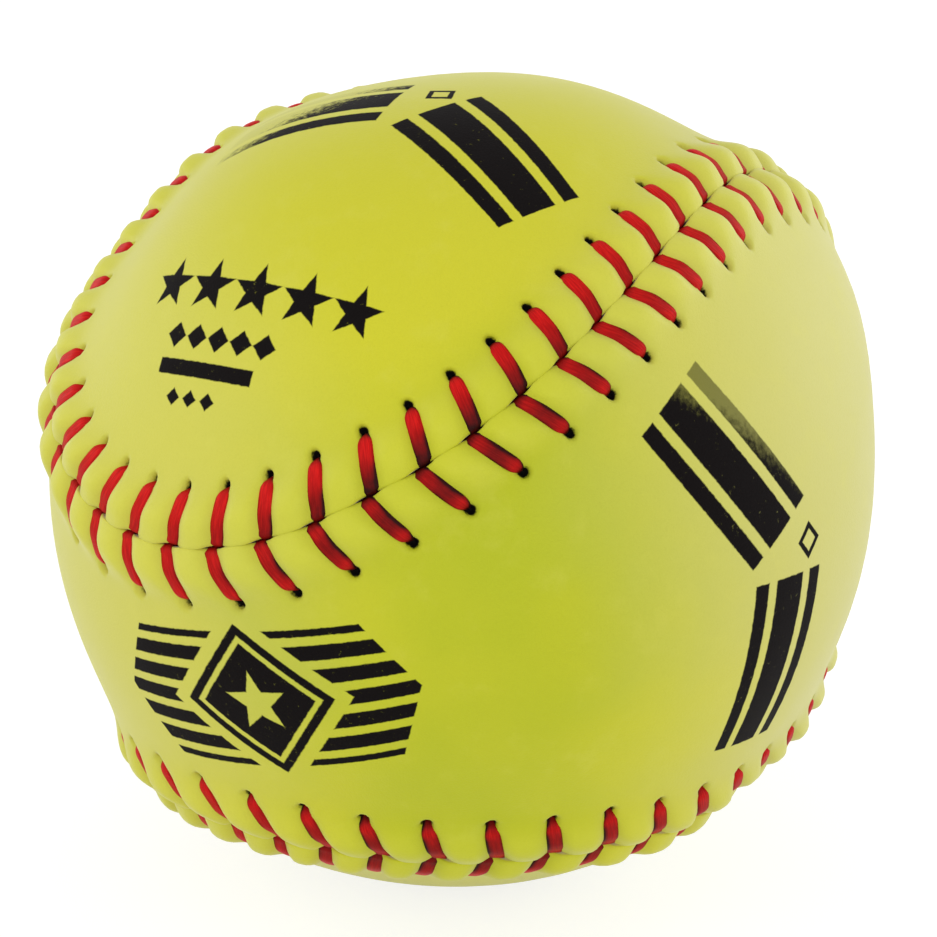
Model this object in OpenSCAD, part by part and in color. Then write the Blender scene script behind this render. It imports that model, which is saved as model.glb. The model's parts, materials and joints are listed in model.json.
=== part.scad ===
/* [Ball] */
// Diameter across the plain leather, away from the seam
ball_d = 88; // [76:0.5:100]
// Thickness of the cover leather
leather_t = 1.6; // [1.4:0.05:2]
// Thickness of the dried cement under the leather
cement_t = 0.4; // [0.2:0.05:0.8]
// Thickness of the layer of wound yarn
winding_t = 2; // [1:0.25:5]

/* [Seam] */
// Half the width of a panel's waist, as an angle seen from the ball's centre
waist_angle = 21; // [19:0.25:24]
// Gap between the edges of the two panels where a stitch passes
seam_gap = 1.1; // [1.05:0.05:1.3]
// Gap between the edges midway between two stitches, where the lips close up
lip_gap = 0.4; // [0.35:0.05:0.6]
// Height of the raised rim that the stitching pulls up beside the seam
seam_rise = 1.9; // [1.6:0.05:2.4]
// Distance from the seam over which the rim dies away
rise_reach = 6; // [5.5:0.1:7.5]
// How far the leather's edge turns down into the seam
edge_drop = 0.9; // [0.7:0.05:1.05]
// Distance from the seam over which the edge turns down
edge_reach = 1.2; // [0.9:0.05:1.5]
// Height of the leather pillows between the stitches, over their mean level
pillow_h = 0.2; // [0:0.02:0.3]

/* [Stitches] */
// Number of stitches around the seam, a multiple of four
stitch_count = 88; // [76:4:96]
// Distance from the seam to the row of stitch holes
hole_inset = 5.5; // [5.2:0.1:6.5]
// Diameter of a stitch hole
hole_d = 1.5; // [1.45:0.05:1.8]
// Width of the flat thread where it lies on the leather
thread_w = 1.8; // [1.4:0.05:2.2]
// Width of the thread where it is drawn through a hole or the seam
drawn_w = 1; // [0.8:0.05:1.05]
// Thickness of the flat thread
thread_t = 0.7; // [0.5:0.02:0.72]
// How far along the seam a stitch runs back from its hole
stitch_lag = 1.4; // [0.8:0.05:2]
// Place of the first hole, along the seam from the middle of a waist
first_hole = -0.6; // [-0.8:0.05:0.8]

/* [Resting pose] */
// Lean of the seam's own axis away from the vertical
seam_tilt = 73.7; // [0:0.1:180]
// Turn of the leaning ball about the vertical
seam_turn = 46.7; // [-180:0.1:180]

/* [Hidden] */
// Clearance under the leather, so that its flat facets stay off the round coat
bed_gap = 0.35;
// Clearance between a stitch and the leather that it lies on
seat_gap = 0.2;
// Height of the hidden thread over the cement coat, to its middle line
under_h = 0.72;
// Bow of a stitch over the leather between its hole and the rim
stitch_bow = 0.1;
// Half the gap between the two threads where they pass in the seam
pass_gap = 0.42;
// Share of a hidden run that is left as the tucked end of a thread
tuck_share = 0.4;
// Overrun of the hole cutters past the leather
cut_over = 1.5;
// Stages of a stitch from its hole to the seam, as shares of the hole's distance
lie_shares = [0.4, 0.75];
// Rings of a panel beside the seam, as shares of the hole's distance
near_shares = [0.25, 0.45, 0.7, 1];
// First ring of a panel with one point a stitch, as the same share
plain_share = 1.55;
// Rings beyond it, as shares of what is left to the panel's centre line
far_shares = [0.34, 0.67, 1];
// Rings of the leather's underside, as shares of the hole's distance
bed_shares = [0.7, 1.55];

ball_r = ball_d / 2;
bed_r = ball_r - leather_t - bed_gap;
core_r = bed_r - cement_t - winding_t;
edge_inset = seam_gap / 2;
pass_offset = drawn_w / 2 + pass_gap;
quarter_count = stitch_count / 4;
sphere_fn = 96;
hole_fn = 24;

// The seam is x = a cos t - b cos 3t, y = a sin t + b sin 3t, z = c cos 2t on the unit sphere
seam_a = (1 + sin(waist_angle)) / 2;
seam_b = (1 - sin(waist_angle)) / 2;
seam_c = 2 * sqrt(seam_a * seam_b);
// Steps of t in the table of lengths along the seam, and a turn that tells a limit
seam_steps = 360;
limit_turn = 0.01;

function unit(v) = v / norm(v);
function running_sum(v) =
    [for (i = 0, sum = 0; i <= len(v); sum = sum + (i < len(v) ? v[i] : 0), i = i + 1) sum];
function blend(p, q, share) = p * (1 - share) + q * share;

// Direction from the ball's centre to the seam, and the way that the seam runs there
function seam_point(t) =
    [seam_a * cos(t) - seam_b * cos(3 * t), seam_a * sin(t) + seam_b * sin(3 * t), seam_c * cos(2 * t)];
function seam_heading(t) =
    unit([3 * seam_b * sin(3 * t) - seam_a * sin(t), seam_a * cos(t) + 3 * seam_b * cos(3 * t),
          -2 * seam_c * sin(2 * t)]);
// Square to both, towards panel a
function seam_side(t) = cross(seam_point(t), seam_heading(t));

// Lengths along the seam, measured at the plain leather
seam_chords =
    [for (i = [1 : seam_steps])
        ball_r * norm(seam_point(i * 360 / seam_steps) - seam_point((i - 1) * 360 / seam_steps))];
seam_run = running_sum(seam_chords);
seam_length = seam_run[seam_steps];
seam_table = [for (i = [0 : seam_steps]) [seam_run[i], i * 360 / seam_steps]];
pitch = seam_length / stitch_count;
function seam_turned(s) = lookup(s - seam_length * floor(s / seam_length), seam_table);

// An arc length on the plain leather as an angle at the ball's centre
function as_angle(length) = length / ball_r * 180 / PI;
// Direction of the point that lies a distance square to the side of the seam
function beside(t, distance) =
    seam_point(t) * cos(as_angle(distance)) + seam_side(t) * sin(as_angle(distance));
// The way to panel a, square to that direction
function across(t, distance) =
    seam_side(t) * cos(as_angle(distance)) - seam_point(t) * sin(as_angle(distance));
// Distance from the seam to the centre line of panel a, which is the plane x = 0
function reach_at(t) = atan(abs(seam_point(t)[0] / seam_side(t)[0])) * PI / 180 * ball_r;
function panel_reach(t) = abs(seam_point(t)[0]) < sin(limit_turn) ? reach_at(t + limit_turn) : reach_at(t);

// Height of the leather over the plain ball: the rim, less the edge that turns down into the seam
function rim(distance) =
    seam_rise * exp(-pow(distance / rise_reach, 2)) - edge_drop * exp(-pow(distance / edge_reach, 2));
function pillow(distance) = pillow_h * exp(-pow(distance / rise_reach, 4));
// How far along the seam a stitch has run back from its hole, at a distance from the seam
function lag(distance) = stitch_lag * max(0, 1 - distance / hole_inset);

// Points of panel a's rings. Even points lie under a stitch, odd ones between two.
// The lag is given a sign, because panel b is the same piece turned over.
function near_point(i, d, sign) =
    let (t = seam_turned((i / 2) * pitch + sign * (first_hole - lag(d))))
    (ball_r + rim(d) + (i % 2 == 0 ? -1 : 1) * pillow(d)) * beside(t, d);
function near_ring(d, sign) = [for (i = [0 : 2 * stitch_count - 1]) near_point(i, d, sign)];
// The edge stands back at each stitch and closes up between two
function edge_ring(sign) =
    [for (i = [0 : 2 * stitch_count - 1]) near_point(i, (i % 2 == 0 ? seam_gap : lip_gap) / 2, sign)];
function plain_ring(d, sign, lift) =
    [for (i = [0 : stitch_count - 1])
        let (t = seam_turned(i * pitch + sign * (first_hole - lag(d))))
        (ball_r + rim(d) + lift) * beside(t, d)];
function far_ring(share, lift) =
    [for (i = [0 : stitch_count - 1])
        let (t = seam_turned(i * pitch))
        let (d = blend(hole_inset * plain_share, panel_reach(t), share))
        (ball_r + rim(d) + lift) * beside(t, d)];
// The last ring folds onto the centre line: its two halves share the points from one lobe to the other
function fold(i) = i <= quarter_count ? i
    : i <= 3 * quarter_count ? 2 * quarter_count - i
    : i - stitch_count;
function centre_line(lift) =
    [for (k = [-quarter_count : quarter_count])
        let (t = seam_turned(k * pitch))
        (ball_r + lift) * beside(t, panel_reach(t))];

// Faces between two rings, and between a ring of twice the points and a plain one
function band(from, to, n) =
    [for (i = [0 : n - 1])
        let (j = (i + 1) % n)
        each [[from + i, to + i, from + j], [from + j, to + i, to + j]]];
function gather(from, to, n) =
    [for (i = [0 : n - 1])
        let (j = (i + 1) % n)
        each [[from + 2 * i, to + i, from + 2 * i + 1],
              [from + 2 * i + 1, to + i, to + j],
              [from + 2 * i + 1, to + j, from + 2 * j]]];
function close_line(from, line, n) =
    [for (i = [0 : n - 1])
        let (j = (i + 1) % n)
        let (p = line + quarter_count + fold(i))
        let (q = line + quarter_count + fold(j))
        each [[from + i, p, from + j], [from + j, p, q]]];
function turned(faces) = [for (f = faces) [f[2], f[1], f[0]]];

module core() {
    color("tan")
        sphere(r = core_r, $fn = sphere_fn);
}

module layer(inner_r, outer_r) {
    difference() {
        sphere(r = outer_r, $fn = sphere_fn);
        sphere(r = inner_r, $fn = sphere_fn);
    }
}

module yarn_winding() {
    color("ivory")
        layer(core_r, core_r + winding_t);
}

module cement_coat() {
    color("khaki")
        layer(core_r + winding_t, bed_r);
}

// One figure-eight panel, with its rim puckered by the stitches. sign is -1 where it is turned over.
module leather(sign) {
    n = stitch_count;
    under = -leather_t;
    outer_near = [for (share = near_shares) near_ring(share * hole_inset, sign)];
    outer_far = [for (i = [0 : len(far_shares) - 2]) far_ring(far_shares[i], 0)];
    bed_near = [for (share = bed_shares) plain_ring(share * hole_inset, sign, under)];
    bed_far = [for (i = [0 : len(far_shares) - 2]) far_ring(far_shares[i], under)];
    points = concat(
        edge_ring(sign), [for (ring = outer_near) each ring],
        plain_ring(plain_share * hole_inset, sign, 0), [for (ring = outer_far) each ring],
        centre_line(0),
        plain_ring(edge_inset, sign, under), [for (ring = bed_near) each ring],
        [for (ring = bed_far) each ring], centre_line(under));
    near_n = len(near_shares);
    far_n = len(far_shares) - 1;
    bed_n = len(bed_shares);
    outer_plain = 2 * n * (near_n + 1);
    outer_line = outer_plain + n * (far_n + 1);
    bed = outer_line + 2 * quarter_count + 1;
    bed_line = bed + n * (1 + bed_n + far_n);
    outer_faces = concat(
        [for (k = [0 : near_n - 1]) each band(2 * n * k, 2 * n * (k + 1), 2 * n)],
        gather(2 * n * near_n, outer_plain, n),
        [for (k = [0 : far_n - 1]) each band(outer_plain + n * k, outer_plain + n * (k + 1), n)],
        close_line(outer_plain + n * far_n, outer_line, n));
    bed_faces = concat(
        [for (k = [0 : bed_n + far_n - 1]) each band(bed + n * k, bed + n * (k + 1), n)],
        close_line(bed + n * (bed_n + far_n), bed_line, n));
    polyhedron(points, concat(outer_faces, turned(bed_faces), turned(gather(0, bed, n))));
}

module stitch_holes(sign) {
    for (i = [0 : stitch_count - 1]) {
        t = seam_turned(i * pitch + sign * first_hole);
        way = beside(t, hole_inset);
        rotate([0, acos(way[2]), atan2(way[1], way[0])])
            translate([0, 0, bed_r - cut_over])
            cylinder(h = leather_t + seam_rise + 2 * cut_over, d = hole_d, $fn = hole_fn);
    }
}

module cover_panel(sign) {
    color("yellowgreen")
        difference() {
            leather(sign);
            stitch_holes(sign);
        }
}

// Panel b is panel a turned over about the level line between two lobes
module turned_over() {
    rotate(180, [1, 1, 0])
        children();
}

module posed() {
    rotate([0, seam_tilt, seam_turn])
        rotate([0, 0, 90])
        children();
}

// One thread of the double herringbone stitch. It comes up through a hole, lies over the rim, drops
// into the seam and runs on under the other panel to that panel's next hole.
// Stages of one stitch: [back along the seam, distance from the hole, height over the ball, width]
under_level = under_h - leather_t - bed_gap;
rim_level = thread_t / 2 + seat_gap;
function lie(share, bow) =
    [stitch_lag * share, hole_inset * share,
     rim(hole_inset * (1 - share)) - pillow_h + rim_level + bow, thread_w];
stages = [
    [0, 0, under_level, drawn_w],
    [0, 0, rim(hole_inset) - pillow_h + rim_level, drawn_w],
    lie(lie_shares[0], stitch_bow),
    lie(lie_shares[1], stitch_bow),
    [stitch_lag, hole_inset, rim(edge_inset) - pillow_h + rim_level, drawn_w],
    [stitch_lag, hole_inset, under_level, drawn_w]];
before = [stitch_lag, hole_inset, under_level, drawn_w];
after = [stitch_lag, 2 * hole_inset, under_level, drawn_w];

// Square to the path at a stage, as [distance, height], lengthened at a corner to keep the thickness
function way_of(from, to) = unit([to[1] - from[1], to[2] - from[2]]);
function mitre(a, b) =
    let (sum = unit([-a[1] - b[1], a[0] + b[0]]))
    sum / (sum * [-a[1], a[0]]);
function stage_mitre(k) =
    let (last = len(stages) - 1)
    mitre(way_of(k == 0 ? before : stages[k - 1], stages[k]),
          way_of(stages[k], k == last ? after : stages[k + 1]));

// Four corners of the thread at a place: s along the seam, a stage, the side (1 on panel a, -1 on
// panel b), and its mitre. The mitre changes sides with the panel, so that the thread never twists.
function corners(s, stage, side, square) =
    let (t = seam_turned(s))
    let (d = side * (hole_inset - stage[1]))
    let (half_w = seam_heading(t) * stage[3] / 2)
    let (thick = side * thread_t / 2 * (-side * across(t, d) * square[0] + beside(t, d) * square[1]))
    let (middle = (ball_r + stage[2]) * beside(t, d))
    [middle + half_w + thick, middle - half_w + thick, middle - half_w - thick, middle + half_w - thick];
function stitch_rings(i, start) =
    let (side = (i + start) % 2 == 0 ? 1 : -1)
    [for (k = [0 : len(stages) - 1])
        let (offset = side * pass_offset * stages[k][1] / hole_inset)
        corners(i * pitch + first_hole - stages[k][0] + offset, stages[k], side, stage_mitre(k))];
// The tucked end lies along a hidden run, at the same height over the coat
function tuck(i, start, run) =
    let (side = (i + start) % 2 == 0 ? 1 : -1)
    let (stage = [0, hole_inset * (1 + run), under_level, drawn_w])
    corners(i * pitch + first_hole - stitch_lag * (1 - abs(run)) + run * pitch, stage, side,
            [0, run < 0 ? -1 : 1]);

module thread(start) {
    n = stitch_count;
    rings = concat(
        [tuck(0, start, -tuck_share)],
        [for (i = [0 : n - 1]) each stitch_rings(i, start)],
        [tuck(n - 1, start, tuck_share)]);
    last = 4 * (len(rings) - 1);
    sides = [for (k = [0 : len(rings) - 2]) for (i = [0 : 3])
        let (a = 4 * k + i)
        let (b = 4 * k + (i + 1) % 4)
        each [[a, a + 4, b], [b, a + 4, b + 4]]];
    ends = [[0, 1, 3], [1, 2, 3], [last, last + 3, last + 1], [last + 1, last + 3, last + 2]];
    color("crimson")
        polyhedron([for (ring = rings) each ring], concat(sides, ends));
}

posed() core();
posed() yarn_winding();
posed() cement_coat();
posed() cover_panel(1);  // cover_panel_a
posed() turned_over() cover_panel(-1);  // cover_panel_b
posed() thread(0);  // stitch_thread_a
posed() thread(1);  // stitch_thread_b
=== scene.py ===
"""A softball: two figure-eight leather panels sewn over a wound core with a raised herringbone seam."""
import json
import math

import bmesh
import bpy
import numpy as np
from mathutils import Matrix, Vector


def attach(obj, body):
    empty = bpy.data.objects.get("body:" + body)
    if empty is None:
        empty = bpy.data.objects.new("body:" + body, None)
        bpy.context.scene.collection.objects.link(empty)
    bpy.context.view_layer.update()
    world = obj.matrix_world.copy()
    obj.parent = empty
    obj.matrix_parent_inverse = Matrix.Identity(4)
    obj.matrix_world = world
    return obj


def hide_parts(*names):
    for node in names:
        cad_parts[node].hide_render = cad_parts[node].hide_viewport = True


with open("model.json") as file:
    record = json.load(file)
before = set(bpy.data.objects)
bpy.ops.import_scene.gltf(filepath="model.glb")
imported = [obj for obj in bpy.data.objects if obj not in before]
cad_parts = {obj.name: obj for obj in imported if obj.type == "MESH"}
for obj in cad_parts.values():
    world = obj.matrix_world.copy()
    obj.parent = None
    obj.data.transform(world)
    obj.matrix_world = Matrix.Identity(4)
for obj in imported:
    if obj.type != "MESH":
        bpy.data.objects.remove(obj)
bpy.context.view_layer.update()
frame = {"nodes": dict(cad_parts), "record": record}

# Lengths are in millimetres and are laid down in metres
MM = 0.001

# The ball rests on its plain leather, so its resting place gives its radius
BALL_R = -frame["record"]["mounts"][0]["pos_m"][2] / MM
LEATHER_T = 1.6

# The curve of the seam, and the rim of the solids beside it
WAIST_ANGLE = math.radians(21)
SEAM_A = (1 + math.sin(WAIST_ANGLE)) / 2
SEAM_B = (1 - math.sin(WAIST_ANGLE)) / 2
SEAM_C = 2 * math.sqrt(SEAM_A * SEAM_B)
SEAM_STEPS = 3600
# The seam repeats this many times, turned over each time, so panel b is panel a turned over
SEAM_REPEATS = 4
RIM_H = 1.9
RIM_REACH = 6.0

# The stitches: their number, how far in their holes lie, where the first hole lies along the seam, how
# far a stitch runs back from its hole to the seam, and half the step between the two panels' there
STITCHES = 88
HOLE_INSET = 5.75
FIRST_HOLE = -0.6
STITCH_LAG = 1.4
PASS_OFFSET = 0.45

# How hand sewing strays from even spacing: stitch number, and millimetres along the seam at the holes
# of panel a (1) and panel b (-1) and at the seam, and millimetres of the seam itself toward panel a
HOLES_STRAY = {1: [(19, 0), (21, -0.4), (23.5, -0.1), (25, 0.3), (27, 1.5), (28, 1.35), (30, 1.0),
                   (32, 0.5), (34, 0), (57, 0), (62, 0.3), (67, 0)],
               -1: [(19, -0.6), (22, -1.0), (24, -0.9), (26, -0.4), (29, 0.4), (32, 0.3), (34, 0),
                    (36, -0.2), (40, 0), (56, 0.6), (61, 0.5), (64, 1.1), (67, 1.2), (70, 0)]}
ENDS_STRAY = [(19, -0.3), (22, -0.8), (25, -0.6), (27, 0.1), (30.5, 0.6), (33, -0.3), (35, -0.5),
              (37, 0), (55, 0), (59, 0.6), (64, 0.5), (68, 0)]
SEAM_STRAY = [(16, 0), (20, 0.3), (26.5, 0.45), (28.5, -0.4), (31, -0.85), (33, -0.7), (35, -0.3),
              (37, 0.2), (42, 0), (52, 0), (56, -2.4), (59, -2.4), (61, -0.3), (63, 1.5), (65, 2.0),
              (67, 1.0), (71, 0)]
# How the ball is out of round: azimuth, elevation and reach in degrees, and millimetres outward
SWELLS = [(93, 30, 17, 2.3), (-140, 77, 22, -1.3), (-98, 37, 18, -1.8), (-60, -44, 22, 1.1),
          (62, -43, 9, -1.4)]
# How dark the thread is along the seam, partly dirt and partly painted shade
DIRT_AND_SHADE = [(0, 0.3), (22, 0.25), (24.5, 0.5), (26.5, 1), (29.5, 1), (31.5, 0.6), (34, 0.35), (56, 0.4),
        (60, 0.8), (63, 0.8), (66, 0.3)]
# How dark and wide the holes are painted along the seam, partly painted shadow and partly stain
HOLES_SHADOW_AND_STAIN = [(0, 0.8), (18, 0.55), (22, 0.65), (25, 0.9), (27, 1), (32, 1), (35, 0.85), (38, 0.6),
              (50, 0.8), (58, 0.85), (62, 1), (66, 0.7)]

# The ball as it rests
SEAM_TILT = math.radians(73.7)
SEAM_TURN = math.radians(46.7)
POSE = np.array(Matrix.Rotation(SEAM_TURN, 3, "Z")
                @ Matrix.Rotation(SEAM_TILT, 3, "Y")
                @ Matrix.Rotation(math.radians(90), 3, "Z"))

# Leather: a broad rise with a roll on each side of the seam
BASE_H, BASE_REACH = 1.45, 6.2
ROLL_H, ROLL_INSET, ROLL_REACH = 1.15, 2.7, 2.4
# The stitches pinch it into pillows: a valley under each, shallower in its last bit before the seam
VALLEY_DEPTH = 1.25
VALLEY_END = (2.9, 6.7)
VALLEY_FILL, VALLEY_FILL_REACH = 0.3, 0.8
HOLLOW_POWER = 1.9
# The punched hole at the end of each stitch, and half its size along and across the seam
PIT_DEPTH = 1.2
PIT_HALF = (0.5, 0.66)
# The rounded edge, across and down. The edges press together between two stitches, so their gap is
# less than nothing there, and an eye opens where the threads pass
LIP_R = (0.34, 0.12)
LIP_GAP = -0.03
LIP_GAP_END = 3
EYE_GAP = 0.17
EYE_HALF = 1.2
EYE_LIP_R = 0.2
# Where the stray of the stitches dies away, as distance from the seam
STRAY_END = (6.5, 12)
# Least flesh left under a valley
LEAST_T = 0.7
# Where painted shade darkens the valleys under the stitches, and where a painted highlight lightens the
# pillows: middle and reach
TROUGH_REACH = 6.5
CROWN_INSET, CROWN_REACH = 2.2, 2.6

# Camera
CAMERA_PLACE = (0.752, -378.31, 126.01)
CAMERA_ELEVATION = math.radians(18.335)
FOCAL_PX = 3711.75
FRAME_PX = 937
SENSOR = 36.0

# Lamps: azimuth, elevation, distance and size in metres, and power
LAMPS = {"left_box": (-70, 28, 0.9, 0.6, 1.6),
         "right_box": (75, 18, 0.9, 0.6, 0.6),
         "top_box": (10, 75, 0.9, 0.6, 0.5),
         "rear_right_box": (122, 12, 0.8, 0.7, 2.4),
         "rear_left_box": (-122, 0, 0.8, 0.6, 1.7),
         "front_box": (8, 4, 0.9, 0.8, 3.2)}
WORLD_LIGHT = 0.6
# Floor: its grey as it lights the ball, and the grey and the glow that are seen
FLOOR_GREY = 0.92
FLOOR_SEEN_GREY = 0.34
FLOOR_GLOW = 0.79
FLOOR_HALF_M = 3.0


def smooth(x, low, high):
    """0 up to low, 1 from high, and a soft step between."""
    share = np.clip((x - low) / (high - low), 0, 1)
    return share * share * (3 - 2 * share)


# The seam's curve

def seam_point(t):
    return np.stack([SEAM_A * np.cos(t) - SEAM_B * np.cos(3 * t),
                     SEAM_A * np.sin(t) + SEAM_B * np.sin(3 * t),
                     SEAM_C * np.cos(2 * t)], -1)


def seam_heading(t):
    way = np.stack([3 * SEAM_B * np.sin(3 * t) - SEAM_A * np.sin(t),
                    SEAM_A * np.cos(t) + 3 * SEAM_B * np.cos(3 * t),
                    -2 * SEAM_C * np.sin(2 * t)], -1)
    return way / np.linalg.norm(way, axis=-1, keepdims=True)


TURNS = np.linspace(0, 2 * math.pi, SEAM_STEPS + 1)
CHORDS = np.linalg.norm(np.diff(seam_point(TURNS), axis=0), axis=1) * BALL_R
RUN = np.concatenate([[0], np.cumsum(CHORDS)])
SEAM_LENGTH = RUN[-1]
PITCH = SEAM_LENGTH / STITCHES


def seam_turned(s):
    return np.interp(np.mod(s, SEAM_LENGTH), RUN, TURNS)


def course(table):
    """A smooth function of the place along the seam, through the table's pairs."""
    at, value = zip(*table)
    numbers = np.arange(0, STITCHES, 0.1)
    values = np.interp(numbers, at, value, period=STITCHES)
    window = np.hanning(21)
    rounds = np.convolve(np.tile(values, 3), window / window.sum(), "same")
    values = rounds[len(numbers):2 * len(numbers)]
    return lambda s: np.interp(s / PITCH, numbers, values, period=STITCHES)


holes_stray = {side: course(table) for side, table in HOLES_STRAY.items()}
ends_stray = course(ENDS_STRAY)
seam_stray = course(SEAM_STRAY)
dirt_and_shade = course(DIRT_AND_SHADE)
holes_shadow_and_stain = course(HOLES_SHADOW_AND_STAIN)


def beside(s, distance):
    """Direction of the point that lies a distance to the side of the seam at s, positive on panel a."""
    t = seam_turned(s)
    point = seam_point(t)
    side = np.cross(point, seam_heading(t))
    angle = (distance / BALL_R)[..., None]
    return point * np.cos(angle) + side * np.sin(angle)


def facing(azimuth, elevation):
    """Direction out of the ball. Azimuth 0 faces -Y, as the camera does."""
    azimuth, elevation = math.radians(azimuth), math.radians(elevation)
    return Vector((math.cos(elevation) * math.sin(azimuth),
                   -math.cos(elevation) * math.cos(azimuth),
                   math.sin(elevation)))


def laid(direction, height):
    """Places in millimetres on the resting ball, at a height over its plain leather."""
    direction = direction @ POSE.T
    radius = BALL_R + height
    for azimuth, elevation, reach, out in SWELLS:
        angle = np.arccos(np.clip(direction @ np.array(facing(azimuth, elevation)), -1, 1))
        radius = radius + out * np.exp(-(angle / math.radians(reach)) ** 2)
    return radius[..., None] * direction


def panel_reach(s):
    """Distance from the seam to the centre line of panel a, the plane x = 0."""
    t = seam_turned(s)
    step_off = 0.0002
    t = np.where(np.abs(seam_point(t)[..., 0]) < step_off, t + step_off, t)
    point = seam_point(t)
    side = np.cross(point, seam_heading(t))
    return np.arctan(np.abs(point[..., 0] / side[..., 0])) * BALL_R


# Leather

def rim(d):
    """Height of the solids' raised rim."""
    return RIM_H * np.exp(-(d / RIM_REACH) ** 2)


def crest(d):
    """Height of the pillows over the plain ball."""
    return (BASE_H * np.exp(-(d / BASE_REACH) ** 2)
            + ROLL_H * np.exp(-((d - ROLL_INSET) / ROLL_REACH) ** 2))


def valley(d):
    """Depth of the pinch under a stitch."""
    fill = VALLEY_FILL * np.exp(-(d / VALLEY_FILL_REACH) ** 2)
    return VALLEY_DEPTH * (1 - smooth(d, *VALLEY_END)) * (1 - fill)


def hollow(aside):
    """1 under a stitch, 0 midway between two."""
    return ((1 + np.cos(2 * math.pi * aside / PITCH)) / 2) ** HOLLOW_POWER


def pit(d, aside):
    """1 in the middle of a punched hole, 0 outside it."""
    spot = (aside / PIT_HALF[0]) ** 2 + ((d - HOLE_INSET) / PIT_HALF[1]) ** 2
    return np.exp(-spot ** 1.5)


def leather_top(d, aside):
    """Height of the leather over the plain ball, at a distance from the seam and aside of a stitch."""
    return crest(d) - valley(d) * hollow(aside) - PIT_DEPTH * pit(d, aside)


def stitch_shift(s, d, side):
    """How far a stitch's line lies along the seam from its station at s, at distance d from the seam."""
    share = np.clip(1 - d / HOLE_INSET, 0, 1)
    hole = FIRST_HOLE + holes_stray[side](s)
    end = FIRST_HOLE - STITCH_LAG + ends_stray(s) + side * PASS_OFFSET
    return hole * (1 - share) + end * share


# Columns of the panel's mesh for each stitch, and how far they crowd toward it
PER_STITCH = 16
CROWDING = 0.42
# Rows of the panel's mesh: shares of the way from FAR_START to the panel's centre line, then
# distances from the seam, then angles round the lip
FAR_START = 10.0
FAR_SHARES = [1, 0.93, 0.84, 0.73, 0.62, 0.51, 0.4, 0.3, 0.2, 0.1]
NEAR_ROWS = [9.2, 8.5, 7.9, 7.4, 7.0, 6.7, 6.45, 6.25, 6.05, 5.85, 5.65, 5.45, 5.25, 5.05, 4.85, 4.65,
             4.4, 4.1, 3.7, 3.2, 2.7, 2.2, 1.75, 1.35, 1.0, 0.7]
LIP_ANGLES = [0, 20, 40, 60, 78, 90]
# Rows of the cut edge and the underside
EDGE_DROP = 0.5
UNDER_ROWS = [0.0, 0.4, 1.5, 4, 7]
UNDER_SHARES = [0, 0.25, 0.5, 0.75, 1]


def panel_columns():
    """Offsets from a stitch's line, closer together near it."""
    u = np.arange(PER_STITCH) / PER_STITCH
    u = np.where(u >= 0.5, u - 1, u)
    return PITCH * (u - CROWDING * np.sin(2 * math.pi * u) / (2 * math.pi))


def cover_panel(name, side):
    """One figure-eight panel as a closed shell: outer leather, rounded lip, cut edge and underside."""
    stations = np.repeat(np.arange(STITCHES), PER_STITCH) * PITCH
    aside = np.tile(panel_columns(), STITCHES)
    order = np.argsort(stations + aside)
    column_s = (stations + aside)[order]
    aside = aside[order]
    column_s = np.append(column_s, column_s[0] + SEAM_LENGTH)
    aside = np.append(aside, aside[0])
    reach = panel_reach(column_s if side > 0 else SEAM_LENGTH / SEAM_REPEATS - column_s)
    eye = np.exp(-((aside + side * PASS_OFFSET) / EYE_HALF) ** 4)
    gap = LIP_GAP + EYE_GAP * eye
    lip_r, lip_drop = (r + EYE_LIP_R * eye for r in LIP_R)

    rows = []

    def lay(d, drop=0.0, under=False, far=0.0, flesh=0.0):
        """Add the row at a distance from the seam, or a share of the way to the centre line."""
        distance = d + gap * (1 - smooth(d, 0, LIP_GAP_END)) + (reach - FAR_START) * far
        if far == 0:
            near = 1 - smooth(distance, *STRAY_END)
        else:
            near = (1 - smooth(FAR_START, *STRAY_END)) * (1 - far)
        s = column_s + stitch_shift(column_s, distance, side) * near
        if under:
            floor = crest(distance) - valley(distance)
            height = np.minimum(rim(distance) - LEATHER_T, floor - LEAST_T)
        else:
            height = leather_top(distance, aside) - drop
        strayed = side * distance + seam_stray(s) * (1 - smooth(distance, STRAY_END[0], reach))
        rows.append({"place": laid(beside(s, strayed), height),
                     "pit": pit(distance, aside) * holes_shadow_and_stain(s),
                     "flesh": np.full_like(aside, flesh),
                     "trough_shade": hollow(aside) * np.exp(-(distance / TROUGH_REACH) ** 6),
                     "crown_highlight": (1 - hollow(aside))
                     * np.exp(-((distance - CROWN_INSET) / CROWN_REACH) ** 4)})

    for share in FAR_SHARES:
        lay(FAR_START, far=share)
    lay(FAR_START)
    for d in NEAR_ROWS:
        lay(d)
    for angle in np.radians(LIP_ANGLES):
        lay(lip_r * (1 - math.sin(angle)), drop=lip_drop * (1 - math.cos(angle)))
    lay(0.0, drop=EDGE_DROP, flesh=1.0)
    for d in UNDER_ROWS:
        lay(d, under=True, flesh=1.0)
    for share in UNDER_SHARES:
        lay(FAR_START, far=share, under=True, flesh=1.0)

    marks = {mark: np.stack([row[mark] for row in rows]) for mark in rows[0]}
    return laid_grid(name, marks.pop("place"), marks)


# Points closer than this are one
WELD = 0.002


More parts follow.
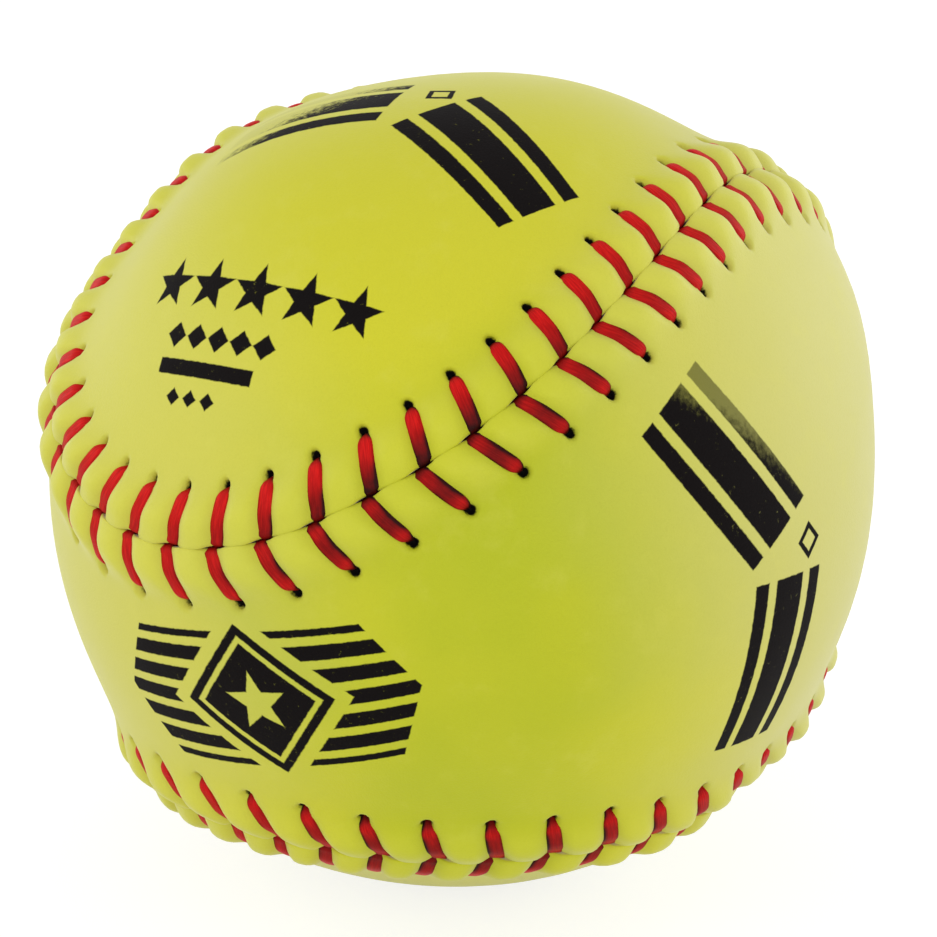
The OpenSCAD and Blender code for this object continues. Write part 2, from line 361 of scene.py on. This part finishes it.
def laid_grid(name, places, marks):
    """A grid whose rows and columns lie at the given places, closed where its edges meet."""
    rows, columns = places.shape[:2]
    bm = bmesh.new()
    bmesh.ops.create_grid(bm, x_segments=columns - 1, y_segments=rows - 1, size=0.5)
    mesh = bpy.data.meshes.new(name)
    bm.to_mesh(mesh)
    bm.free()
    flat = np.empty(3 * len(mesh.vertices), dtype=np.float32)
    mesh.vertices.foreach_get("co", flat)
    grid = flat.reshape(-1, 3)
    column = np.rint((grid[:, 0] + 0.5) * (columns - 1)).astype(int)
    row = np.rint((grid[:, 1] + 0.5) * (rows - 1)).astype(int)
    mesh.vertices.foreach_set("co", (places[row, column] * MM).astype(np.float32).ravel())
    for mark, values in marks.items():
        attribute = mesh.attributes.new(mark, "FLOAT", "POINT")
        attribute.data.foreach_set("value", values[row, column].astype(np.float32))
    bm = bmesh.new()
    bm.from_mesh(mesh)
    bmesh.ops.remove_doubles(bm, verts=bm.verts, dist=WELD * MM)
    bmesh.ops.recalc_face_normals(bm, faces=bm.faces)
    bm.to_mesh(mesh)
    bm.free()
    mesh.polygons.foreach_set("use_smooth", [True] * len(mesh.polygons))
    piece = bpy.data.objects.new(name, mesh)
    bpy.context.scene.collection.objects.link(piece)
    return piece


# Thread. Stages of a stitch: distance from the seam, height over the groove's floor or, where hidden,
# over the plain ball, width, thickness, and darkness on panel a and on panel b, partly dirt and partly
# painted shade.
HIDDEN_H = -1.23
VISIBLE = [(5.3, -0.45, 1.1, 0.4, 0.9, 0.9),
           (5.1, -0.08, 1.32, 0.46, 0.5, 0.5),
           (4.7, 0.17, 1.52, 0.48, 0.06, 0.3),
           (4.1, 0.27, 1.62, 0.48, 0.04, 0.55),
           (3.4, 0.3, 1.68, 0.48, 0.15, 0.72),
           (2.6, 0.29, 1.72, 0.48, 0.4, 0.75),
           (1.9, 0.27, 1.74, 0.48, 0.68, 0.6),
           (1.25, 0.24, 1.74, 0.48, 0.84, 0.42),
           (0.78, 0.2, 1.7, 0.46, 0.93, 0.45),
           (0.42, 0.12, 1.64, 0.42, 1.0, 0.8)]
RISING = [(5.5, HIDDEN_H, 1.0, 0.55, 1, 1),
          (5.48, -0.7, 0.95, 0.5, 1, 1),
          (5.42, -0.2, 1.0, 0.45, 1, 1)]
DIVING = [(0.14, 0.5, 1.8, 0.38, 1, 0.9),
          (0.04, -0.1, 1.6, 0.34, 1, 1),
          (-0.05, -0.75, 1.3, 0.4, 1, 1),
          (-0.6, -1.15, 1.1, 0.5, 1, 1),
          (-1.6, HIDDEN_H, 1.0, 0.55, 1, 1),
          (-3.6, HIDDEN_H, 1.0, 0.55, 1, 1),
          (-4.9, HIDDEN_H, 1.0, 0.55, 1, 1)]
# Shade in the eye, and how it falls with the distance from the seam
EYE_SHADE, EYE_SHADE_FALL = 0.85, 1.3
# The strap's section: points round it, and how full its width and its thickness are
STRAP_POINTS = 16
STRAP_FULLNESS = (0.8, 0.9)


def stitch_stages(station, side):
    """[s, signed distance, height, width, thickness, darkness] at each stage of one stitch."""
    out = []
    for stage in RISING + VISIBLE + DIVING:
        d, h, w, t, dark_a, dark_b = stage
        if stage in VISIBLE:
            h = crest(d) - valley(d) + h
        s = station + stitch_shift(station, max(d, 0), side)
        if d < 0:
            far = station + PITCH + stitch_shift(station + PITCH, HOLE_INSET, -side)
            s = s + (far - s) * -d / HOLE_INSET
        dark = max((dark_a if side > 0 else dark_b) * dirt_and_shade(station),
                   EYE_SHADE - EYE_SHADE_FALL * abs(d))
        out.append([s, side * d + seam_stray(s), h, w, t, dark])
    return out


def curve_through(points, steps):
    """A smooth curve through the points, with a fixed number of steps between each two."""
    before = np.vstack([2 * points[0] - points[1], points[:-1]])
    after = np.vstack([points[1:], 2 * points[-1] - points[-2]])
    slope = (after - before) / 2
    u = (np.arange(steps) / steps)[None, :, None]
    p0, p1 = points[:-1, None], points[1:, None]
    m0, m1 = slope[:-1, None], slope[1:, None]
    curve = ((2 * u ** 3 - 3 * u ** 2 + 1) * p0 + (u ** 3 - 2 * u ** 2 + u) * m0
             + (3 * u ** 2 - 2 * u ** 3) * p1 + (u ** 3 - u ** 2) * m1)
    return np.vstack([curve.reshape(-1, points.shape[1]), points[-1:]])


def stitch_thread(name, start):
    """One thread of the double herringbone stitch, swept along its whole route."""
    stages = []
    for i in range(STITCHES):
        side = 1 if (i + start) % 2 == 0 else -1
        stages += stitch_stages(i * PITCH, side)
    route = curve_through(np.array(stages), 2)
    s, distance, height, width, thick, dark = route.T
    middle = laid(beside(s, distance), height)
    along = np.gradient(middle, axis=0)
    step = np.linalg.norm(along, axis=1, keepdims=True)
    along = along / step
    across = seam_heading(seam_turned(s)) @ POSE.T
    across = across - (across * along).sum(1, keepdims=True) * along
    across = across / np.linalg.norm(across, axis=1, keepdims=True)
    through = np.cross(along, across)
    width[0] = width[-1] = thick[0] = thick[-1] = 0
    ring = np.linspace(0, 2 * math.pi, STRAP_POINTS + 1)
    wide = np.sign(np.cos(ring)) * np.abs(np.cos(ring)) ** STRAP_FULLNESS[0]
    high = np.sign(np.sin(ring)) * np.abs(np.sin(ring)) ** STRAP_FULLNESS[1]
    places = (middle[None]
              + (wide[:, None] * width / 2)[..., None] * across[None]
              + (high[:, None] * thick / 2)[..., None] * through[None])
    shape = places.shape[:2]
    marks = {"across": np.broadcast_to(wide[:, None], shape),
             "length": np.broadcast_to(np.cumsum(step), shape),
             "dark": np.broadcast_to(dark, shape)}
    return laid_grid(name, places, marks)


# Materials

class Wire:
    """A socket of a material's nodes. Arithmetic on it adds Math nodes."""

    def __init__(self, paint, socket):
        self.paint = paint
        self.socket = socket

    def math(self, operation, *others):
        return self.paint.math(operation, self, *others)

    def __add__(self, other):
        return self.math("ADD", other)

    def __sub__(self, other):
        return self.math("SUBTRACT", other)

    def __rsub__(self, other):
        return self.paint.math("SUBTRACT", other, self)

    def __mul__(self, other):
        return self.math("MULTIPLY", other)

    def __truediv__(self, other):
        return self.math("DIVIDE", other)

    def __abs__(self):
        return self.math("ABSOLUTE")

    __radd__ = __add__
    __rmul__ = __mul__


class Paint:
    """A material under construction."""

    def __init__(self, name):
        self.material = bpy.data.materials.new(name)
        self.material.use_nodes = True
        self.tree = self.material.node_tree
        self.tree.nodes.clear()

    def add(self, kind, settings=(), sockets=(), output=0):
        node = self.tree.nodes.new("ShaderNode" + kind)
        for name, value in dict(settings).items():
            setattr(node, name, value)
        for name, value in dict(sockets).items():
            if isinstance(value, Wire):
                self.tree.links.new(value.socket, node.inputs[name])
            else:
                node.inputs[name].default_value = value
        return Wire(self, node.outputs[output]) if node.outputs else None

    def math(self, operation, *values):
        return self.add("Math", {"operation": operation}, dict(enumerate(values)))

    def largest(self, *masks):
        out = masks[0]
        for mask in masks[1:]:
            out = self.math("MAXIMUM", out, mask)
        return out

    def mark(self, name):
        return self.add("Attribute", {"attribute_name": name}, output="Fac")

    def place(self):
        """Object coordinates in millimetres."""
        where = self.add("TexCoord", output="Object")
        return self.add("VectorMath", {"operation": "SCALE"}, {0: where, "Scale": 1 / MM})

    def dot(self, vector, constant):
        return self.add("VectorMath", {"operation": "DOT_PRODUCT"},
                        {0: vector, 1: tuple(constant)}, output="Value")

    def blend(self, share, first, second):
        return self.add("Mix", {"data_type": "RGBA"}, {0: share, 6: first, 7: second}, output=2)

    def noise(self, vector, scale, detail=2.0, roughness=0.5):
        return self.add("TexNoise", sockets={
            "Vector": vector, "Scale": scale, "Detail": detail, "Roughness": roughness})

    def ease(self, value, low, high):
        """0 up to low, 1 from high, and a soft step between."""
        return self.add("MapRange", {"interpolation_type": "SMOOTHSTEP"}, {
            "Value": value, "From Min": low, "From Max": high, "To Min": 0.0, "To Max": 1.0})

    def surface(self, sockets):
        return self.add("BsdfPrincipled", sockets=sockets)

    def finish(self, shader):
        self.add("OutputMaterial", sockets={"Surface": shader})
        return self.material


def spot_frame(azimuth, elevation, turn):
    """Axes of a print: to its right, up it, and out of the ball."""
    out = facing(azimuth, elevation)
    azimuth, turn = math.radians(azimuth), math.radians(turn)
    east = Vector((math.cos(azimuth), math.sin(azimuth), 0))
    north = out.cross(east)
    right = east * math.cos(turn) + north * math.sin(turn)
    return right, out.cross(right), out


# Width over which the ink fades at its edge
INK_EDGE = 0.14


class Stamp:
    """A flat print laid on the ball: its own x and y in millimetres, with worn ink edges."""

    def __init__(self, paint, place, azimuth, elevation, turn, rough):
        right, up, out = spot_frame(azimuth, elevation, turn)
        self.paint = paint
        self.rough = rough
        depth = paint.dot(place, out)
        self.x = paint.dot(place, right) / depth * BALL_R
        self.y = paint.dot(place, up) / depth * BALL_R
        self.near = depth.math("GREATER_THAN", BALL_R / 2)

    def ink(self, inside):
        """1 where the distance inside the outline is positive, with a soft rough edge."""
        shade = (inside + self.rough) / INK_EDGE + 0.5
        return shade.math("MAXIMUM", 0.0).math("MINIMUM", 1.0) * self.near

    def least(self, *values):
        out = values[0]
        for value in values[1:]:
            out = self.paint.math("MINIMUM", out, value)
        return out

    def most(self, *values):
        return self.paint.largest(*values)


# Finger guides: a thick bar between two thin ones, in half lengths and half widths
GUIDE_HALF = 10.0
GUIDE_THICK = 2.07
GUIDE_THIN = 0.92
GUIDE_SPREAD = 4.15
# Each guide: its azimuth, elevation and turn; then how its print strays from straight bars, as offset,
# lean, bend, width and flare; then where its ink is lifted, partly rubbed away and partly a painted
# sheen, as the growth of that along it and across it, where that starts and is full, and how much ink it
# takes
GUIDES = [((7.9, 65.7, -64.1), (0.0, -0.026, 0.0018, 1.04, -0.008), None),
          ((-77.5, 67.8, 55.6), (1.35, 0.03, 0.0, 1.15, 0.0), (-1.0, 1.3, -2.4, 5.4, 0.93)),
          ((39.0, 15.5, -54.3), (-0.38, 0.0, 0.0042, 1.03, 0.0), (-1.0, 4.0, 10.0, 21.0, 0.34)),
          ((48.1, -14.2, -92.4), (-0.12, -0.015, 0.0, 0.99, -0.0085), None)]
# How much the rough edge of the ink speckles a rubbed place
RUB_SPECKLE = 60
# Place of the small mark, along and beside the guide that it stands by
SMALL_MARK = (-13.4, 3.1)
# Azimuth, elevation and turn of the two larger prints
TITLE = (-36.3, 39.6, 2.0)
EMBLEM = (-28.2, -14.9, 11.0)
# Where painted shade makes the leather darkest and greenest, toward the front: azimuth and elevation
FRONT_SHADE = (3.0, -7.0)
# Where a pale painted sheen lies on the sides: azimuth, elevation, where it begins and is full in
# millimetres out, and how much
PAINTED_SHEEN = [(82.0, 4.0, 12, 43, 0.72), (-62.0, 0.0, 22, 44, 0.32)]
# A star's waist as a share of its tips' reach
STAR_WAIST = 0.42


def guide_bars(stamp, strays, rub_and_sheen):
    """Ink of one guide, less where it is rubbed and where a sheen is painted on it."""
    offset, lean, bend, width, flare = strays
    middle = stamp.x * (stamp.x * bend + lean) + offset
    across = abs(stamp.y - middle) / (stamp.x * flare + width)
    bars = stamp.most(GUIDE_THICK - across, GUIDE_THIN - abs(across - GUIDE_SPREAD))
    ink = stamp.ink(stamp.least(GUIDE_HALF - abs(stamp.x), bars))
    if rub_and_sheen:
        # Lifted ink: partly wear, partly painted sheen on the print
        growth_along, growth_across, start, full, share = rub_and_sheen
        wear = stamp.x * growth_along + stamp.y * growth_across + stamp.rough * RUB_SPECKLE
        ink = ink * (1 - stamp.paint.ease(wear, start, full) * share)
    return ink


def star_inside(paint, x, y, tip):
    """Distance inside a five-pointed star, negative outside it."""
    waist = tip * STAR_WAIST
    sector = 2 * math.pi / 5
    angle = paint.math("ARCTAN2", x, y)
    turn = abs(angle - (angle / sector).math("ROUND") * sector)
    radius = (x * x + y * y).math("SQRT")
    across, along = math.sin(sector / 2) * waist, tip - math.cos(sector / 2) * waist
    slope = math.hypot(across, along)
    short_of_tip = tip - radius * turn.math("COSINE")
    beside_axis = radius * turn.math("SINE")
    return short_of_tip * (across / slope) - beside_axis * (along / slope)


def nearest(place, spacing, count):
    """Number, from the middle one, of the nearest of a row of things."""
    half = (count - 1) / 2
    return (place / spacing).math("ROUND").math("MAXIMUM", -half).math("MINIMUM", half)


def star_row(stamp, spacing, count, tip):
    x = stamp.x - nearest(stamp.x, spacing, count) * spacing
    return stamp.ink(star_inside(stamp.paint, x, stamp.y, tip))


def bar(stamp, x, y, half_length, half_width):
    return stamp.ink(stamp.least(half_length - abs(stamp.x - x), half_width - abs(stamp.y - y)))


def diamond_row(stamp, x, y, spacing, count, size):
    """A row of solid diamonds."""
    along = stamp.x - x
    along = along - nearest(along, spacing, count) * spacing
    return stamp.ink((size - abs(along) - abs(stamp.y - y)) / math.sqrt(2))


def small_diamond(stamp, x, y):
    """A diamond outline by the meeting of two finger guides."""
    long_half, short_half, line = 2.2, 2.0, 0.8
    reach = abs(stamp.x - x) / long_half + abs(stamp.y - y) / short_half
    return stamp.ink(line / 2 - abs((1 - reach) * short_half - line / 2))


def winged_diamond(stamp):
    """A solid diamond with a clear line and star in it, between two sets of tapering bars."""
    size, border, line, star_tip = 9.0, 1.25, 0.6, 3.6
    bar_spacing, bar_half, gap, span, rake, wing_half = 2.7, 0.85, 1.5, 19.0, 0.6, 8.1
    x, y = abs(stamp.x), abs(stamp.y)
    diagonal = (size - x - y) / math.sqrt(2)
    clear = stamp.most(line / 2 - abs(diagonal - border),
                       star_inside(stamp.paint, stamp.x, stamp.y, star_tip))
    diamond = stamp.least(diagonal, clear * -1)
    from_bar = abs(stamp.y - (stamp.y / bar_spacing).math("ROUND") * bar_spacing)
    wing = stamp.least(bar_half - from_bar, diagonal * -1 - gap, span - x - y * rake, wing_half - y)
    return stamp.ink(stamp.most(diamond, wing))


# Colours of the leather: its dye, its painted shade toward the front, its painted sheen on the sides,
# cloudy, painted shade in the valleys under the stitches, painted highlight on the pillows and dark in
# its pores, then its cut edge and the ink
DYE = (0.62, 0.60, 0.022, 1)
FRONT_SHADE_TONE = (0.45, 0.50, 0.010, 1)
PAINTED_SHEEN_TONE = (0.62, 0.59, 0.21, 1)
DYE_CLOUDY = (0.70, 0.68, 0.12, 1)
VALLEY_SHADE_TONE = (0.38, 0.42, 0.01, 1)
PILLOW_HIGHLIGHT_TONE = (0.68, 0.67, 0.06, 1)
DYE_PORES = (0.30, 0.32, 0.01, 1)
CUT_EDGE = (0.52, 0.42, 0.27, 1)
INK = (0.004, 0.003, 0.003, 1)
INK_DUSTY = (0.009, 0.007, 0.007, 1)
# Colours of the thread
RED = (0.74, 0.012, 0.010, 1)
RED_DEEP = (0.50, 0.004, 0.004, 1)
THREAD_DIRT_AND_SHADE = (0.014, 0.003, 0.003, 1)


def leather():
    """Dyed leather with grain and pores, painted shade, sheen and highlights, its prints, and the dark
    of its punched holes, which is painted shadow and stain.
    """
    paint = Paint("optic_yellow_leather")
    place = paint.place()
    hole, flesh, trough_shade, crown_highlight = (paint.mark(name) for name in ("pit", "flesh", "trough_shade", "crown_highlight"))
    broad = paint.noise(place, 0.035, 3.0)
    mottle = paint.noise(place, 0.22, 4.0, 0.6)
    grain = paint.add("TexVoronoi", {"feature": "DISTANCE_TO_EDGE"},
                      {"Vector": place, "Scale": 2.2, "Randomness": 1.0})
    fine = paint.noise(place, 5.0, 3.0, 0.6)
    pores = paint.add("TexVoronoi", {"feature": "F1"}, {"Vector": place, "Scale": 1.1})
    rough_edge = (paint.noise(place, 1.6, 3.0, 0.6) - 0.5) * 0.22

    # Painted shade: the leather turns darker and greener toward the front
    toward = paint.dot(place, facing(*FRONT_SHADE)) + (broad - 0.5) * 26
    colour = paint.blend(paint.ease(toward, 29, 47), DYE, FRONT_SHADE_TONE)
    # Painted sheen: the sides are paled toward cream, standing in for glare
    for azimuth, elevation, start, full, share in PAINTED_SHEEN:
        painted_sheen = paint.dot(place, facing(azimuth, elevation)) + (broad - 0.5) * 20
        colour = paint.blend(paint.ease(painted_sheen, start, full) * share, colour, PAINTED_SHEEN_TONE)
    colour = paint.blend(paint.ease(mottle, 0.5, 0.8) * 0.18, colour, DYE_CLOUDY)
    # Painted shade in the valleys under the stitches
    colour = paint.blend(trough_shade * 0.3, colour, VALLEY_SHADE_TONE)
    # Painted highlight on the pillow tops between the stitches
    colour = paint.blend(crown_highlight * 0.35, colour, PILLOW_HIGHLIGHT_TONE)
    colour = paint.blend(paint.ease(fine, 0.45, 0.8) * 0.08, colour, DYE_PORES)

    stamps = [Stamp(paint, place, *guide[0], rough_edge) for guide in GUIDES]
    masks = [guide_bars(stamp, *guide[1:]) for stamp, guide in zip(stamps, GUIDES)]
    masks += [small_diamond(stamps[k], *SMALL_MARK) for k in (0, 3)]
    title = Stamp(paint, place, *TITLE, rough_edge)
    masks.append(star_row(title, 5.9, 5, 3.0))
    masks.append(diamond_row(title, -2.5, -5.6, 2.9, 5, 1.35))
    masks.append(bar(title, -3.4, -9.0, 6.3, 0.85))
    masks.append(diamond_row(title, -4.3, -12.2, 2.4, 3, 0.95))
    masks.append(winged_diamond(Stamp(paint, place, *EMBLEM, rough_edge)))
    ink = paint.largest(*masks)
    wear = paint.ease(paint.noise(place, 1.3, 5.0, 0.7), 0.62, 0.76) * 0.25
    ink = ink * (1 - wear)
    colour = paint.blend(flesh, colour, CUT_EDGE)
    # The punched holes are painted near-black: painted shadow in the hole, with some dark stain
    punched = hole + (paint.noise(place, 2.6, 2.0) - 0.5) * 0.5 * paint.ease(hole, 0.05, 0.3)
    black_share = paint.largest(ink, paint.ease(punched, 0.25, 0.55))

    relief = paint.ease(grain, 0.0, 0.16) * 0.55 + fine * 0.3 + paint.ease(pores, 0.0, 0.3) * 0.2
    normal = paint.add("Bump", sockets={"Strength": 0.3, "Distance": 0.05 * MM, "Height": relief})
    hide = paint.surface({
        "Base Color": colour, "Roughness": 0.5 + (mottle - 0.5) * 0.12, "Normal": normal,
        "Specular IOR Level": 0.2, "Sheen Weight": 0.2, "Sheen Roughness": 0.45})
    black = paint.surface({
        "Base Color": paint.blend(fine, INK, INK_DUSTY),
        "Roughness": 0.5 + mottle * 0.1, "Normal": normal, "Specular IOR Level": 0.03})
    return paint.finish(paint.add("MixShader", sockets={0: black_share, 1: hide, 2: black}))


def waxed_thread():
    """Flat strands that run along the thread, darkened by dirt and painted shade toward the seam, with
    painted shade on its edges, more on one side.
    """
    paint = Paint("waxed_red_thread")
    across, length, dark = (paint.mark(name) for name in ("across", "length", "dark"))
    fibre_place = paint.add("CombineXYZ", sockets={
        "X": across * 5.5 + length * 0.35, "Y": length * 0.5, "Z": 0.0})
    fibres = paint.noise(fibre_place, 1.0, 3.0, 0.6)
    patches = paint.noise(paint.place(), 0.8, 2.0)
    red = paint.blend(paint.ease(fibres, 0.35, 0.7), RED_DEEP, RED)
    # Painted shade along the thread's rounded edges, heavier on one side where it is dark
    edge = paint.ease(abs(across), 0.6, 1.0) * 0.22
    edge = edge + paint.ease(across, 0.2, 1.0) * paint.ease(dark, 0.1, 0.5) * 0.45
    shade = paint.math("MINIMUM", dark * (0.72 + patches * 0.5) + edge, 1.0)
    colour = paint.blend(shade * 0.98, red, THREAD_DIRT_AND_SHADE)
    normal = paint.add("Bump", sockets={"Strength": 0.6, "Distance": 0.08 * MM, "Height": fibres})
    return paint.finish(paint.surface({
        "Base Color": colour, "Roughness": 0.45 + fibres * 0.15, "Normal": normal,
        "Specular IOR Level": 0.08}))


def moulded_core():
    """Moulded polyurethane with small cells."""
    paint = Paint("moulded_core")
    place = paint.place()
    cells = paint.add("TexVoronoi", {"feature": "F1"}, {"Vector": place, "Scale": 1.6})
    mottle = paint.noise(place, 0.3, 3.0)
    colour = paint.blend(mottle, (0.66, 0.55, 0.34, 1), (0.8, 0.7, 0.48, 1))
    normal = paint.add("Bump", sockets={"Strength": 0.5, "Distance": 0.1 * MM, "Height": cells})
    return paint.finish(paint.surface({"Base Color": colour, "Roughness": 0.75, "Normal": normal}))


def wound_yarn():
    """Yarn laid round the ball in three leans, one over the other, with painted shade between the
    strands.
    """
    paint = Paint("wound_yarn")
    place = paint.place()
    yarn_w = 0.9
    leans = [Vector((1, 0.3, 0.2)), Vector((-0.4, 1, 0.5)), Vector((0.2, -0.6, 1))]
    cover = paint.noise(place, 0.07, 2.0)
    strands = [abs((paint.dot(place, lean.normalized()) * (2 * math.pi / yarn_w)).math("SINE"))
               for lean in leans]
    height = strands[0]
    for k, strand in enumerate(strands[1:], 1):
        share = paint.ease(cover, 0.4 + 0.08 * k, 0.44 + 0.08 * k)
        height = height * (1 - share) + strand * share
    fuzz = paint.noise(place, 3.0, 4.0, 0.7)
    # Painted shade: the yarn is darker where its strands dip, between them
    colour = paint.blend(height * 0.7 + fuzz * 0.3, (0.45, 0.41, 0.33, 1), (0.86, 0.83, 0.74, 1))
    normal = paint.add("Bump", sockets={"Strength": 0.8, "Distance": 0.3 * MM, "Height": height})
    return paint.finish(paint.surface({
        "Base Color": colour, "Roughness": 0.85, "Normal": normal, "Sheen Weight": 0.2}))


def dried_cement():
    """Brushed latex cement, glossy where it ran."""
    paint = Paint("dried_cement")
    place = paint.place()
    brush = paint.noise(place, 0.12, 4.0, 0.6)
    drips = paint.noise(place, 0.9, 2.0)
    colour = paint.blend(brush, (0.42, 0.30, 0.12, 1), (0.70, 0.58, 0.30, 1))
    height = brush + drips * 0.3
    normal = paint.add("Bump", sockets={"Strength": 0.5, "Distance": 0.2 * MM, "Height": height})
    return paint.finish(paint.surface({
        "Base Color": colour, "Roughness": 0.3 + drips * 0.25, "Normal": normal}))


# Studio

def studio_camera():
    data = bpy.data.cameras.new("camera")
    data.sensor_width = SENSOR
    data.lens = FOCAL_PX / FRAME_PX * SENSOR
    data.clip_start = 0.01
    data.clip_end = 50
    camera = bpy.data.objects.new("camera", data)
    camera.location = [MM * c for c in CAMERA_PLACE]
    camera.rotation_euler = (math.radians(90) - CAMERA_ELEVATION, 0, 0)
    bpy.context.scene.collection.objects.link(camera)
    bpy.context.scene.camera = camera


def studio_world():
    """White where the camera or a reflection looks, and a softer white as light."""
    world = bpy.data.worlds.new("studio")
    world.use_nodes = True
    bpy.context.scene.world = world
    nodes, links = world.node_tree.nodes, world.node_tree.links
    nodes.clear()
    rays = nodes.new("ShaderNodeLightPath")
    seen = rays.outputs["Is Camera Ray"]
    for ray in ("Is Glossy Ray", "Is Transmission Ray"):
        either = nodes.new("ShaderNodeMath")
        either.operation = "MAXIMUM"
        links.new(seen, either.inputs[0])
        links.new(rays.outputs[ray], either.inputs[1])
        seen = either.outputs[0]
    light = nodes.new("ShaderNodeBackground")
    light.inputs["Strength"].default_value = WORLD_LIGHT
    white = nodes.new("ShaderNodeBackground")
    white.inputs["Color"].default_value = light.inputs["Color"].default_value = (1, 1, 1, 1)
    white.inputs["Strength"].default_value = 1
    mix = nodes.new("ShaderNodeMixShader")
    links.new(seen, mix.inputs[0])
    links.new(light.outputs[0], mix.inputs[1])
    links.new(white.outputs[0], mix.inputs[2])
    out = nodes.new("ShaderNodeOutputWorld")
    links.new(mix.outputs[0], out.inputs["Surface"])


def soft_box(name, azimuth, elevation, distance, size, power):
    """A square lamp that faces the ball."""
    away = facing(azimuth, elevation)
    data = bpy.data.lights.new(name, "AREA")
    data.shape = "SQUARE"
    data.size = size
    data.energy = power
    lamp = bpy.data.objects.new(name, data)
    lamp.location = away * distance
    lamp.rotation_euler = away.to_track_quat("Z", "Y").to_euler()
    bpy.context.scene.collection.objects.link(lamp)


def studio_floor():
    """A pale matt floor that looks white to the camera and to reflections, and keeps the shadow."""
    bm = bmesh.new()
    bmesh.ops.create_grid(bm, x_segments=8, y_segments=8, size=FLOOR_HALF_M)
    bmesh.ops.translate(bm, verts=bm.verts, vec=(0, 0, -BALL_R * MM))
    mesh = bpy.data.meshes.new("floor")
    bm.to_mesh(mesh)
    bm.free()
    floor = bpy.data.objects.new("floor", mesh)
    bpy.context.scene.collection.objects.link(floor)
    paint = Paint("pale_floor")
    looks = paint.largest(*(paint.add("LightPath", output="Is %s Ray" % kind)
                            for kind in ("Camera", "Glossy", "Transmission")))
    matt, softer = (paint.add("BsdfDiffuse", sockets={"Color": (grey, grey, grey, 1)})
                    for grey in (FLOOR_GREY, FLOOR_SEEN_GREY))
    glow = paint.add("Emission", sockets={"Color": (1, 1, 1, 1), "Strength": FLOOR_GLOW})
    seen = paint.add("AddShader", sockets={0: softer, 1: glow})
    mesh.materials.append(paint.finish(paint.add("MixShader", sockets={0: looks, 1: matt, 2: seen})))


def dress_node(node, material):
    piece = frame["nodes"][node]
    piece.data.materials.clear()
    piece.data.materials.append(material)


def main():
    studio_camera()
    studio_world()
    for lamp, settings in LAMPS.items():
        soft_box(lamp, *settings)
    studio_floor()

    hide = leather()
    thread = waxed_thread()
    for name, node, side in (("leather_panel_a", "cover_panel_a", 1),
                             ("leather_panel_b", "cover_panel_b", -1)):
        panel = cover_panel(name, side)
        panel.data.materials.append(hide)
        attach(panel, "root")
        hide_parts(node)
    for start, (name, node) in enumerate((("stitching_a", "stitch_thread_a"),
                                          ("stitching_b", "stitch_thread_b"))):
        stitching = stitch_thread(name, start)
        stitching.data.materials.append(thread)
        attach(stitching, "root")
        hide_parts(node)
    dress_node("core", moulded_core())
    dress_node("yarn_winding", wound_yarn())
    dress_node("cement_coat", dried_cement())

    bpy.context.scene.view_settings.view_transform = "Standard"


main()
